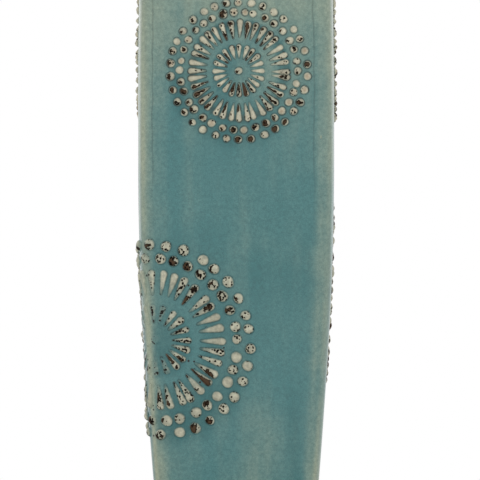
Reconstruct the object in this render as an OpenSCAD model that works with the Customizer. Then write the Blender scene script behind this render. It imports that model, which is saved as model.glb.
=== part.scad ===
// Tall four-sided pottery vase: clay slabs under a teal glaze, with raised slip rosettes.
// Millimetres, +Z up, origin at the middle of the foot, front face towards -Y.

/* [Body] */
// Height from the table to the top of the lip
vase_h = 406; // [380:1:450]
// Greatest width across two opposite faces
belly_w = 128; // [118:1:140]
// Height at which the body is widest
belly_z = 272; // [240:1:300]
// Width across the faces at the bottom of the base slab
foot_w = 97; // [86:1:112]
// Width across the faces at the lip
mouth_w = 125; // [116:1:134]
// Radius of the upright corners at the greatest width
corner_r = 11.4; // [10:0.1:16]
// How late the taper to the foot sets in, 1 being a straight taper
taper_power = 1.75; // [1.3:0.05:2.2]
// Thickness of the four wall slabs
wall_t = 6; // [4:0.1:6.5]
// Thickness of the base slab
base_t = 8; // [6:0.5:14]
// Rounding of the base slab's lower edge
base_edge_r = 3; // [1:0.1:3.5]

/* [Foot ring] */
// Height of the ring that the vase stands on
foot_h = 3; // [2:0.1:6]
// Width of the ring's band
foot_band_w = 7; // [4:0.1:12]
// Step in from the base slab's edge to the ring
foot_inset = 4.5; // [3.5:0.1:7]

/* [Face rosettes] */
// Drop from the lip to the middle of the front rosette
front_drop = 71; // [52:1:100]
// Step of the front rosette to the right of the middle of its face
front_step = 1.9; // [0:0.1:5]
// Drop from the lip to the middle of the right rosette
right_drop = 59; // [52:1:100]
// Drop from the lip to the middle of the back rosette
back_drop = 68; // [52:1:100]
// Drop from the lip to the middle of the left rosette
left_drop = 58; // [52:1:100]
// Diameter of the dot in the middle
dot_d = 4.4; // [3:0.1:8]
// Number of inner rays
inner_ray_n = 20; // [12:1:24]
// Distance from the middle to the tips of the inner rays
inner_ray_from = 8; // [6.5:0.1:10]
// Distance from the middle to the round ends of the inner rays
inner_ray_to = 16.8; // [14:0.1:19]
// Width of an inner ray at its round end
inner_ray_w = 2.6; // [1.6:0.1:3]
// Number of outer rays
outer_ray_n = 36; // [24:1:40]
// Distance from the middle to the tips of the outer rays
outer_ray_from = 21.2; // [20:0.1:24]
// Distance from the middle to the round ends of the outer rays
outer_ray_to = 32.8; // [28:0.1:34]
// Width of an outer ray at its round end
outer_ray_w = 3.2; // [2:0.1:3.8]
// Width of every ray near its pointed tip
ray_tip_w = 0.9; // [0.6:0.05:1.3]
// Number of beads in each of the two bead rings
bead_n = 34; // [24:1:36]
// Diameter of a bead
bead_d = 4.5; // [3:0.1:5.2]
// Radius of the inner ring of beads
inner_bead_ring_r = 38.2; // [37:0.1:39]
// Radius of the outer ring of beads
outer_bead_ring_r = 44.4; // [44:0.1:46]

/* [Corner rosettes] */
// Size of a corner rosette compared with a face rosette
corner_scale = 1.4; // [1:0.01:1.5]
// Diameter of a bead in a corner rosette
corner_bead_d = 6.7; // [4:0.1:7.2]
// Height of the middle of the rosette on the front left corner
front_left_rosette_z = 160; // [100:1:190]
// Height of the middle of the rosette on the back right corner
back_right_rosette_z = 183; // [100:1:190]
// Step of a corner rosette's middle off the corner, towards the front or the back face
corner_step = 5.5; // [0:0.1:8]

/* [Hidden] */
GLAZE = "cadetblue";
SLIP = "wheat";
BARE_CLAY = "burlywood";
FACES = ["front", "right", "back", "left"];
RINGS = ["dot", "inner_rays", "outer_rays", "inner_beads", "outer_beads"];
// Each rosette: name, eighths of a turn from the front, height, step along the wall, size, bead
ROSETTES = [
    ["front", 0, vase_h - front_drop, front_step, 1, bead_d],
    ["right", 2, vase_h - right_drop, 0, 1, bead_d],
    ["back", 4, vase_h - back_drop, 0, 1, bead_d],
    ["left", 6, vase_h - left_drop, 0, 1, bead_d],
    ["front_left", -1, front_left_rosette_z, corner_step, corner_scale, corner_bead_d],
    ["back_right", 3, back_right_rosette_z, corner_step, corner_scale, corner_bead_d]
];

// Smoothness of the round strokes
$fn = 36;
// Rows up a wall, and flats in half of an upright corner, over the lip and on the base's edge
wall_rows = 22;
corner_flats = 4;
lip_flats = 6;
edge_flats = 3;
// Flats over the width of a stroke that bends round a corner, and along its round end
stroke_flats = 6;
end_flats = 3;
// Clearance under a stroke that bends round a corner
seat_gap = 0.03;
wall_z = foot_h + base_t;

// Shape of the body

// Half the width across the faces at height z
function half(z) = z > belly_z
    ? belly_w / 2 - (belly_w - mouth_w) / 2 * pow((z - belly_z) / (vase_h - belly_z), 2)
    : belly_w / 2 - (belly_w - foot_w) / 2 * pow((belly_z - z) / (belly_z - foot_h), taper_power);

// The corner radius keeps its share of the width, and the rest of the half width is flat
function radius(z) = corner_r * half(z) / (belly_w / 2);
function flat(z) = half(z) - radius(z);
// Spread of the half width per millimetre of height, and a quarter of the way round
function lean(z) = half(z + 0.5) - half(z - 0.5);
function quarter(z) = 2 * flat(z) + PI / 2 * radius(z);

function unit(v) = v / norm(v);
function about_z(v, a) = [v.x * cos(a) - v.y * sin(a), v.x * sin(a) + v.y * cos(a), v.z];

// Point of the front quarter, inset from the glazed face, at a turn into its left or right corner
function ring_point(z, inset, side, turn) =
    let (b = flat(z), r = radius(z) - inset)
    [side * (b + r * sin(turn)), -b - r * cos(turn), z];

// Left to right across one quarter, from mitre to mitre
quarter_columns = concat(
    [for (i = [corner_flats:-1:0]) [-1, 45 * i / corner_flats]],
    [for (i = [0:corner_flats]) [1, 45 * i / corner_flats]]
);

// Seat on the wall, u along the perimeter from the middle of the front: [across, up, out, point]
function seat(u, z) =
    let (
        face = round(u / quarter(z)),
        s = u - face * quarter(z),
        b = flat(z),
        r = radius(z),
        side = s < 0 ? -1 : 1,
        turn = max(abs(s) - b, 0) / r * 180 / PI,
        share = r / half(z),
        fall = -lean(z) * ((1 - share) * (sin(turn) + cos(turn)) + share),
        out = unit([side * sin(turn), -cos(turn), fall]),
        across = [cos(turn), side * sin(turn), 0],
        point = [side * (min(abs(s), b) + r * sin(turn)), -b - r * cos(turn), z]
    )
    [for (v = [across, cross(out, across), out, point]) about_z(v, 90 * face)];

// Where a rosette's own point, x across and y up from its middle, lies on the wall
function rosette_seat(rosette, x, y) =
    let (z = rosette[2] + y)
    seat(rosette[1] * quarter(z) / 2 + rosette[3] + x, z);

// True where a patch of the given reach about that point lies on a flat face
function on_flat(rosette, x, y, reach) =
    let (
        z = rosette[2] + y,
        u = rosette[1] * quarter(z) / 2 + rosette[3] + x,
        low = min(flat(z - reach), flat(z + reach))
    )
    abs(u - round(u / quarter(z)) * quarter(z)) + reach < low;

// Body

// One wall slab between two mitred corners, with its half of each corner and a round lip
module wall_slab(face) {
    rise = vase_h - wall_t / 2 - wall_z;
    levels = [for (i = [0:wall_rows]) wall_z + rise * i / wall_rows];
    lip = [for (i = [1:lip_flats - 1]) 180 * i / lip_flats];
    rows = concat(
        [for (z = levels) [0, z]],
        [for (a = lip) wall_t / 2 * [1 - cos(a), sin(a)] + [0, vase_h - wall_t / 2]],
        [for (i = [wall_rows:-1:0]) [wall_t, levels[i]]]
    );
    n = len(quarter_columns);
    m = len(rows);
    points = [for (row = rows) for (c = quarter_columns) ring_point(row[1], row[0], c[0], c[1])];
    skin = [for (i = [0:m - 1]) for (j = [0:n - 2]) each
        let (a = i * n + j, b = (i + 1) % m * n + j) [[a, b, b + 1], [a, b + 1, a + 1]]];
    mitres = [for (i = [0:floor(m / 2) - 1]) for (j = [0, n - 1]) each
        let (a = i * n + j, b = a + n, d = (m - 1 - i) * n + j, c = d - n, left = j == 0)
        concat(
            left ? [[a, d, b]] : [[a, b, d]],
            b == c ? [] : left ? [[b, d, c]] : [[b, c, d]]
        )];
    color(GLAZE) rotate(90 * face) polyhedron(points, concat(skin, mitres));
}

// Rounded-square outline of the body at height z, drawn in by inset
function outline(z, inset) = [
    for (face = [0:3])
        for (j = [0:len(quarter_columns) - 2])
            let (c = quarter_columns[j])
            about_z(ring_point(z, inset, c[0], c[1]), 90 * face)
];

// Floor slab under the walls, with a rounded lower edge
module base_slab() {
    turns = [for (i = [0:edge_flats]) 90 * i / edge_flats];
    edge = [for (a = turns) base_edge_r * [1 - sin(a), 1 - cos(a)] + [0, foot_h]];
    rows = concat(edge, [[0, wall_z]]);
    points = [for (row = rows) each outline(row[1], row[0])];
    n = len(outline(wall_z, 0));
    top = (len(rows) - 1) * n;
    skin = [for (i = [0:len(rows) - 2]) for (j = [0:n - 1]) each
        let (a = i * n + j, b = i * n + (j + 1) % n) [[a, a + n, b + n], [a, b + n, b]]];
    caps = [[for (j = [0:n - 1]) j], [for (j = [n - 1:-1:0]) top + j]];
    color(GLAZE) polyhedron(points, concat(skin, caps));
}

// Unglazed ring that keeps the base slab off the table
module foot_ring() {
    outer = [for (p = outline(foot_h, foot_inset)) [p.x, p.y]];
    inner = outer * (1 - 2 * foot_band_w / (foot_w - 2 * foot_inset));
    color(BARE_CLAY) linear_extrude(foot_h) difference() {
        polygon(outer);
        polygon(inner);
    }
}

// Raised slip

// Outline of a ray from its blunt tip to its round end: [distance from the tip, half width]
function ray_outline(length, tip, end) = concat(
    [[0, 0], [tip / 2, tip], [(length - end) / 2, (tip + end) / 2]],
    [for (i = [0:end_flats]) [length - end, 0] + end * [sin(90 * i / end_flats), cos(90 * i / end_flats)]]
);

// Outline of a bead, in the same way
function bead_outline(d) =
    [for (i = [0:2 * end_flats]) d / 2 * [1 - cos(90 * i / end_flats), sin(90 * i / end_flats)]];

// Half-round ray on a flat face, from its tip along +X
module straight_ray(length, tip, end) {
    rotate([90, 0, 90]) rotate_extrude(angle = 180) {
        polygon([[0, 0], [tip, 0], [end, length - end], [0, length - end]]);
        translate([0, length - end]) intersection() {
            circle(end);
            square(end);
        }
    }
}

// Half-ball bead on a flat face
module straight_bead(d) {
    intersection() {
        sphere(d = d);
        translate([-d, -d, 0]) cube(2 * d);
    }
}

// Half-round stroke that follows the wall round a corner, seated on it all over
module bent_stroke(rosette, angle, from, stations) {
    // Once round the section: over the back of the stroke, then back along its seat
    over = [for (i = [0:stroke_flats]) [cos(180 * i / stroke_flats), sin(180 * i / stroke_flats)]];
    under = [for (i = [1:stroke_flats / 2 - 1]) [4 * i / stroke_flats - 1, 0]];
    section = concat(over, under);
    n = len(section);
    last = len(stations) - 1;
    rows = [for (k = [1:last - 1]) for (p = section) [stations[k][0], stations[k][1] * p]];
    places = concat([[stations[0][0], [0, 0]]], rows, [[stations[last][0], [0, 0]]]);
    points = [for (place = places)
        let (
            along = from + place[0],
            aside = place[1].x,
            x = along * cos(angle) - aside * sin(angle),
            y = along * sin(angle) + aside * cos(angle),
            spot = rosette_seat(rosette, x, y)
        )
        spot[3] + spot[2] * (place[1].y + seat_gap)];
    tail = len(points) - 1;
    skin = [for (k = [0:last - 3]) for (i = [0:n - 1]) each
        let (a = 1 + k * n + i, b = 1 + k * n + (i + 1) % n) [[a, b + n, b], [a, a + n, b + n]]];
    first_fan = [for (i = [0:n - 1]) [0, 1 + i, 1 + (i + 1) % n]];
    last_fan = [for (i = [0:n - 1]) [tail, tail - n + (i + 1) % n, tail - n + i]];
    polyhedron(points, concat(skin, first_fan, last_fan));
}

module on_seat(spot)
    multmatrix([for (i = [0:2]) [for (v = spot) v[i]]]) children();

// One ray, pointed towards the rosette's middle
module ray(rosette, angle, from, to, width) {
    size = rosette[4];
    length = size * (to - from);
    middle = size * (from + to) / 2;
    x = middle * cos(angle);
    y = middle * sin(angle);
    tip = size * ray_tip_w / 2;
    end = size * width / 2;
    if (on_flat(rosette, x, y, length / 2))
        on_seat(rosette_seat(rosette, x, y))
            rotate(angle) translate([-length / 2, 0, 0]) straight_ray(length, tip, end);
    else
        bent_stroke(rosette, angle, size * from, ray_outline(length, tip, end));
}

module bead(rosette, angle, distance, d) {
    reach = rosette[4] * distance;
    x = reach * cos(angle);
    y = reach * sin(angle);
    if (on_flat(rosette, x, y, d / 2))
        on_seat(rosette_seat(rosette, x, y)) straight_bead(d);
    else
        bent_stroke(rosette, angle, reach - d / 2, bead_outline(d));
}

module ray_ring(rosette, count, from, to, width)
    for (i = [0:count - 1]) ray(rosette, 90 + 360 * i / count, from, to, width);

module bead_ring(rosette, first, distance)
    for (i = [0:bead_n - 1]) bead(rosette, 90 + 360 * (i + first) / bead_n, distance, rosette[5]);

module rosette_ring(rosette, ring) color(SLIP) {
    if (ring == "dot") bead(rosette, 0, 0, rosette[4] * dot_d);
    if (ring == "inner_rays")
        ray_ring(rosette, inner_ray_n, inner_ray_from, inner_ray_to, inner_ray_w);
    if (ring == "outer_rays")
        ray_ring(rosette, outer_ray_n, outer_ray_from, outer_ray_to, outer_ray_w);
    if (ring == "inner_beads") bead_ring(rosette, 0.5, inner_bead_ring_r);
    if (ring == "outer_beads") bead_ring(rosette, 0, outer_bead_ring_r);
}

foot_ring();
base_slab();
for (i = [0:3])
    wall_slab(i);
for (rosette = ROSETTES)
    for (ring = RINGS)
        rosette_ring(rosette, ring);
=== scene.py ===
"""Looks of a tall square pottery vase: teal glaze over clay slabs, with raised rosettes of cream slip.

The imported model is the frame. Sizes are in metres in its frame: +Z up, the origin under the middle of
the foot and the front face towards -Y. Places on the walls are given by u, the way along the perimeter
from the middle of the front, and by the height z.
"""

import math
from typing import NamedTuple

import bmesh
import bpy
import numpy as np
from bpy.props import FloatProperty, FloatVectorProperty, IntProperty, PointerProperty
from bpy.types import Operator, Panel, PropertyGroup
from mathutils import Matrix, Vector


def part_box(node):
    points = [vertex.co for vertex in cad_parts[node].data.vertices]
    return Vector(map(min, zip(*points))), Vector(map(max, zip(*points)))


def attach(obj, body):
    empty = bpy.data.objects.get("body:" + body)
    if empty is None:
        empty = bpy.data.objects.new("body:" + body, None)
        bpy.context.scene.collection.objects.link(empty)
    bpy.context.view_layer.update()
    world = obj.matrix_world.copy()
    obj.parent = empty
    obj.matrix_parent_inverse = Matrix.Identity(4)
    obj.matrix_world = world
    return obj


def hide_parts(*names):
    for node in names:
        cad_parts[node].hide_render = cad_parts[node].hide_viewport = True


bl_info = {
    "name": "Square Pottery Vase",
    "version": (1, 0, 0),
    "blender": (4, 5, 0),
    "location": "View3D > Sidebar > Vase",
    "description": "Builds the glazed walls, the slip rosettes and the stage of a tall square vase",
    "category": "Object",
}

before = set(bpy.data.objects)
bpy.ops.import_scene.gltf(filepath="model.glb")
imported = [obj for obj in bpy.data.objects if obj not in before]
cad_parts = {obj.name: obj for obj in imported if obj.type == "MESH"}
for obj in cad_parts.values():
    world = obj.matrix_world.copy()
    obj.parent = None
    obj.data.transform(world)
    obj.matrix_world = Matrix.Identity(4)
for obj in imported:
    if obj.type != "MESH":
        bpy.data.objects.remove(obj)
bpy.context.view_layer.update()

MM = 0.001
WHITE = (1.0, 1.0, 1.0, 1.0)
FACES = ("front", "right", "back", "left")

# From the middle of each face to its low pale streak, a painted reflection of the curved lower wall, in
# millimetres to the right
REFLECTION_PLACES = (17, -18, 12, 22)
# How thin the glaze is on the edge of each corner, from the corner at the right of the front, with painted
# sheen on the rounded edge added in
EDGES = (0.42, 0.6, 0.5, 0.66)
# How thin the glaze is round a corner, by the millimetres past the crease where the flat face ends, with
# painted sheen that differs between the right and the left of each face
RIGHT_CORNER = {-6: 0, -5: 0.04, -2: 0.08, 0: 0.24, 2: 0.34, 5: 0.3, 9: 0.3}
LEFT_CORNER = {-6: 0, -3: 0, 1: 0.1, 3: 0.24, 6: 0.38, 9: 0.3}

# Rows of a stroke's mesh: the dome by its angles from the top, the skirt of glaze by its share of the
# width and of the lift, and two rows that close the stroke under the wall's surface
DOME = np.radians((0, 20, 38, 54, 68, 80, 90))
SKIRT = ((0.25, 0.42), (0.6, 0.1), (1.0, 0.0))
# For each of these rows: how bare of glaze the slip is, how thick the glaze, and where the top is
BARE = np.array((1, 1, 1, 0.92, 0.74, 0.58, 0.45, 0.24, 0.06, 0, 0, 0))[:, None]
THICK = np.array((0.9,) * 9 + (0.4, 0.2, 0.2))[:, None]
CREST = np.append(np.cos(DOME), (0, 0, 0, 0, 0))[:, None]

# Soft lamps: name, place, width, power in watts, and whether the glaze mirrors the lamp
LAMPS = (("key_lamp", (1.5, -1.7, 0.32), 2.4, 22, False),
         ("fill_lamp", (-1.5, -1.7, 0.32), 2.4, 20, False),
         ("right_rim_lamp", (1.6, 1.3, 0.5), 1.4, 4, True),
         ("left_rim_lamp", (-1.6, 1.3, 0.5), 1.4, 5, True))


# Settings

def length(name, default, description):
    return FloatProperty(name=name, description=description, default=default, min=0.0,
                         precision=4, unit="LENGTH", subtype="DISTANCE")


def mm(name, default, description):
    """A length, written in millimetres."""
    return length(name, default * MM, description)


def share(name, default, description):
    return FloatProperty(name=name, description=description, default=default, min=0.0, max=1.0,
                         subtype="FACTOR")


def number(name, default, description):
    return IntProperty(name=name, description=description, default=default, min=3)


def colour(name, red, green, blue, description):
    """A colour property, written as it shows on a screen, from 0 to 255."""
    shown = np.array((red, green, blue)) / 255
    linear = np.where(shown > 0.04045, ((shown + 0.055) / 1.055) ** 2.4, shown / 12.92)
    return FloatVectorProperty(name=name, description=description, size=4, subtype="COLOR",
                               default=(*linear, 1.0), min=0.0, max=1.0)


def middle(node):
    low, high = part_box(node)
    return (low + high) / 2


class VaseBodySettings(PropertyGroup):
    height: length("Height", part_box("front_wall")[1].z, "From the table to the top of the lip")
    belly_width: mm("Belly width", 128, "Greatest width across two opposite faces")
    belly_height: mm("Belly height", 272, "Height at which the body is widest")
    foot_width: mm("Foot width", 97, "Width at the bottom of the base slab")
    mouth_width: mm("Mouth width", 125, "Width at the lip")
    corner: mm("Corner radius", 11.4, "Radius of the upright corners at the belly")
    taper: FloatProperty(name="Taper", description="How late the taper to the foot sets in",
                         default=1.75, min=1.0, max=3.0)
    wall: mm("Wall", 6, "Thickness of the wall slabs")
    floor: length("Floor height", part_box("base_slab")[1].z, "Top of the base slab")
    base_edge: mm("Base edge", 3, "Rounding of the base slab's lower edge")
    puddle: mm("Puddle", 3, "Rounding of the glaze between the floor and the walls inside")
    uneven: mm("Unevenness", 0.16, "How far the hand-made slabs wander from true")
    foot_height: length("Foot height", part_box("foot_ring")[1].z, "Height of the foot ring")
    foot_band: mm("Foot band", 7, "Width of the foot ring's band")
    foot_inset: mm("Foot inset", 4.5, "Step in from the base slab to the foot ring")
    foot_edge: mm("Foot edge", 0.9, "Rounding of the foot ring's edges")
    foot_wear: mm("Foot wear", 0.12, "How unevenly the foot ring's underside is rubbed")


class VaseRosetteSettings(PropertyGroup):
    dot: mm("Dot", 4.4, "Diameter of the dot in the middle")
    inner_rays: number("Inner rays", 20, "Number of inner rays")
    inner_from: mm("Inner rays from", 8, "Middle to the tips of the inner rays")
    inner_to: mm("Inner rays to", 16.8, "Middle to the round ends of the inner rays")
    inner_width: mm("Inner ray width", 2.6, "Width of an inner ray at its round end")
    outer_rays: number("Outer rays", 36, "Number of outer rays")
    outer_from: mm("Outer rays from", 21.2, "Middle to the tips of the outer rays")
    outer_to: mm("Outer rays to", 32.8, "Middle to the round ends of the outer rays")
    outer_width: mm("Outer ray width", 3.2, "Width of an outer ray at its round end")
    tip_width: mm("Ray tip", 0.9, "Width of every ray near its tip")
    beads: number("Beads", 34, "Number of beads in each of the two bead rings")
    bead: mm("Bead", 4.5, "Diameter of a bead")
    corner_bead: mm("Corner bead", 6.7, "Diameter of a bead in a corner rosette")
    inner_bead_ring: mm("Inner bead ring", 38.2, "Radius of the inner ring of beads")
    outer_bead_ring: mm("Outer bead ring", 44.4, "Radius of the outer ring of beads")
    front_step: mm("Front step", 1.9, "Step of the front rosette to the right")
    corner_step: mm("Corner step", 5.5, "Step of a corner rosette off its corner")
    corner_size: FloatProperty(name="Corner size", description="Corner rosettes against face rosettes",
                               default=1.4, min=0.5, max=2.0)
    skirt: mm("Skirt", 1, "Width of the glaze that creeps up round a stroke")
    sunk: mm("Sunk", 0.37, "How far a stroke's underside lies inside the wall")
    clear: mm("Clear", 0.03, "How far the edge of a stroke's skirt stands off the wall")
    hand: share("Hand", 0.055, "How much one stroke differs from the next")


class VaseGlazeSettings(PropertyGroup):
    # From here up the faces pale: thin glaze towards the lip, and painted light on the upper faces
    thin_from: mm("Thin from", 285, "Height from which the glaze thins towards the lip")
    top_thin_and_painted_light: share("Thin at the top", 0.54, "How thin the glaze is on the faces under the lip")
    lean: mm("Lean", 20, "How much lower the thin glaze begins on the right of a face")
    lip: mm("Lip", 7, "Height of the lip that the glaze has run off")
    # Low on the faces: pale streaks of painted reflection of the curved lower wall, and deep runs of glaze
    # beside them
    run_from: mm("Runs from", 150, "Height at which the runs low on the faces begin")
    run_full: mm("Runs full", 100, "Height below which the runs are at their strongest")
    reflection_half_width: mm("Pale run", 14, "Half width of the pale run on a face")
    reflection_paleness: share("Pale run thinness", 0.3, "How thin the glaze is in a pale run")
    deep_step: mm("Deep run step", 21, "From a pale run to the deep run beside it")
    deep_run: mm("Deep run", 5, "Half width of the deep run on a face")
    deep_pool: share("Deep run depth", 0.5, "How deep the glaze is in a deep run")
    band_height: mm("Band height", 205, "Height of the deeper band round the body")
    band: mm("Band", 35, "Half width of the deeper band")
    band_pool: share("Band depth", 0.35, "How deep the glaze is in the deeper band")


class VaseFinishSettings(PropertyGroup):
    teal: colour("Teal", 70, 119, 120, "Glaze of ordinary thickness")
    deep: colour("Deep teal", 46, 100, 102, "Glaze where it lies thick between the strokes")
    # Also the painted sheen, reflection and light on the corners, the upper faces and the low pale streaks
    pale: colour("Pale green", 158, 166, 143, "Glaze where it runs thin over corners and lip")
    slip: colour("Slip", 204, 200, 178, "Cream slip of the strokes")
    tan: colour("Tan", 146, 112, 82, "Slip rubbed thin on the tops of some beads")
    brown: colour("Brown", 78, 61, 46, "Worn patches on the slip")
    # Painted shade: round the foot of the strokes, in the crease along the corners and between crowded rays,
    # with some dark glaze gathered there
    shade: colour("Shade", 34, 52, 46, "Dark line of glaze round the foot of a stroke")
    umber: colour("Umber", 8, 3, 0, "Rims of the worn patches, and specks")
    clay: colour("Clay", 178, 132, 100, "Unglazed clay of the foot")


class VaseStageSettings(PropertyGroup):
    distance: length("Distance", 2.3, "From the camera to the middle of the vase")
    pitch: FloatProperty(name="Pitch", description="How far the camera looks down",
                         default=math.radians(3), unit="ROTATION", subtype="ANGLE")
    turn: FloatProperty(name="Turn", description="How far the camera stands round to the right",
                        default=math.radians(0.6), unit="ROTATION", subtype="ANGLE")
    aim_right: mm("Aim right", 2, "Aim to the right of the middle")
    aim_height: mm("Aim height", 222, "Height of the aim")
    lens: FloatProperty(name="Lens", description="Focal length in millimetres",
                        default=258.3, min=1.0, unit="CAMERA")
    floor: colour("Floor", 242, 241, 238, "Plain pale floor")
    floor_reach: length("Floor reach", 4.0, "From the middle of the floor to its sides")
    sky: share("Sky", 0.55, "Strength of the white background as a light")


# The shape of the body

class Wall:
    """The glazed outside of the vase."""

    def __init__(self, body):
        self.body = body

    def half(self, z):
        """Half the width across the faces."""
        body = self.body
        over = np.maximum(z - body.belly_height, 0) / (body.height - body.belly_height)
        under = np.maximum(body.belly_height - z, 0) / (body.belly_height - body.foot_height)
        return (body.belly_width - (body.belly_width - body.mouth_width) * over ** 2
                - (body.belly_width - body.foot_width) * under ** body.taper) / 2

    def radius(self, z):
        return self.body.corner * self.half(z) / (self.body.belly_width / 2)

    def flat(self, z):
        return self.half(z) - self.radius(z)

    def quarter(self, z):
        """A quarter of the way round."""
        return 2 * self.flat(z) + math.pi / 2 * self.radius(z)

    def split(self, u, z):
        """The face that u lies on, and the way from that face's middle."""
        face = np.round(u / self.quarter(z))
        return face, u - face * self.quarter(z)

    def past_crease(self, u, z):
        """The way round the corner from the crease where the flat face ends, below zero on the flat."""
        _, along = self.split(u, z)
        return np.abs(along) - self.flat(z)

    def place(self, u, z, lift):
        """Point at a lift off the wall, which wanders a little from true, and outward direction."""
        face, along = self.split(u, z)
        flat, radius = self.flat(z), self.radius(z)
        side = np.where(along < 0, -1.0, 1.0)
        turn = np.maximum(np.abs(along) - flat, 0) / radius
        sine, cosine = np.sin(turn), np.cos(turn)
        part = radius / self.half(z)
        fall = -(self.half(z + MM) - self.half(z - MM)) / (2 * MM) * ((1 - part) * (sine + cosine) + part)
        out = np.stack((side * sine, -cosine, fall), -1)
        point = np.stack((side * (np.minimum(np.abs(along), flat) + radius * sine),
                          -flat - radius * cosine, z), -1)
        out, point = unit(swing(out, face)), swing(point, face)
        x, y = point[..., 0], point[..., 1]
        wander = (np.sin(71 * x + 47 * z + 1.3) + np.sin(63 * y - 38 * z + 0.4)
                  + np.sin(23 * z + 31 * (x - y))) / 3
        return point + out * (lift + self.body.uneven * wander)[..., None], out


def swing(vectors, quarters):
    """Turns vectors about Z by quarters of a turn."""
    angle = quarters * math.pi / 2
    c, s = np.cos(angle), np.sin(angle)
    x, y, z = vectors[..., 0], vectors[..., 1], vectors[..., 2]
    return np.stack((x * c - y * s, x * s + y * c, z), -1)


def unit(vectors):
    return vectors / np.linalg.norm(vectors, axis=-1, keepdims=True)


def smooth(low, high, value):
    """Nought at low, one at high, and a smooth way between them."""
    t = np.clip((value - low) / (high - low), 0, 1)
    return t * t * (3 - 2 * t)


def hump(value, top, width):
    """One at the top, falling off over the width on both sides."""
    return np.exp(-((value - top) / width) ** 2)


def quarter_columns(corner_steps, flat_steps):
    """Columns across one quarter from mitre to mitre: share of the flat, and share of the half corner."""
    corner = np.linspace(1, 0, corner_steps, endpoint=False)
    return ([(-1.0, c) for c in corner] + [(t, 0.0) for t in np.linspace(-1, 1, flat_steps + 1)]
            + [(1.0, c) for c in corner[::-1]])


def along_quarter(wall, columns, z):
    """The way from the face's middle to each column at the heights z: a row of columns for each height."""
    t, c = np.array(columns).T
    z = np.asarray(z, float)[:, None]
    return t * wall.flat(z) + np.sign(t) * c * math.pi / 4 * wall.radius(z)


# Rosettes and glaze

class Style(NamedTuple):
    """How the strokes of a rosette look. A heel is the dark line at the foot of a stroke: painted shade, with
    some dark glaze gathered there.
    """
    dome: float  # rise against half the width
    cover: float  # how well the slip covers
    ray_bare: float  # power on how bare a ray is: a low one leaves more of it bare
    bead_bare: float
    ray_heel: float
    bead_heel: float
    specked: float  # most wear at which a stroke has specks
    speck: float  # how thick the specks lie
    rubbed: float  # most wear at which a bead's top is rubbed
    bed: float  # how deep the glaze lies between the strokes


FACE_STYLE = Style(dome=0.86, cover=1.0, ray_bare=0.8, bead_bare=1.25, ray_heel=1.0, bead_heel=0.75,
                   specked=0.4, speck=1.0, rubbed=0.35, bed=0.42)
CORNER_STYLE = Style(dome=0.62, cover=0.78, ray_bare=0.7, bead_bare=1.25, ray_heel=0.4, bead_heel=0.2,
                     specked=0.8, speck=1.3, rubbed=0.0, bed=0.65)


class Rosette(NamedTuple):
    """Where a rosette lies on the walls."""
    name: str
    eighths: int  # of a turn from the front to the right
    step: float  # along the wall from there to the middle
    size: float  # against a face rosette
    style: Style
    height: float  # of the middle


def rosette_places(rosettes):
    rows = [("front", 0, rosettes.front_step, 1.0, FACE_STYLE), ("right", 2, 0, 1.0, FACE_STYLE),
            ("back", 4, 0, 1.0, FACE_STYLE), ("left", 6, 0, 1.0, FACE_STYLE),
            ("front_left", -1, rosettes.corner_step, rosettes.corner_size, CORNER_STYLE),
            ("back_right", 3, rosettes.corner_step, rosettes.corner_size, CORNER_STYLE)]
    return [Rosette(*row, middle(row[0] + "_rosette_dot").z) for row in rows]


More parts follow.
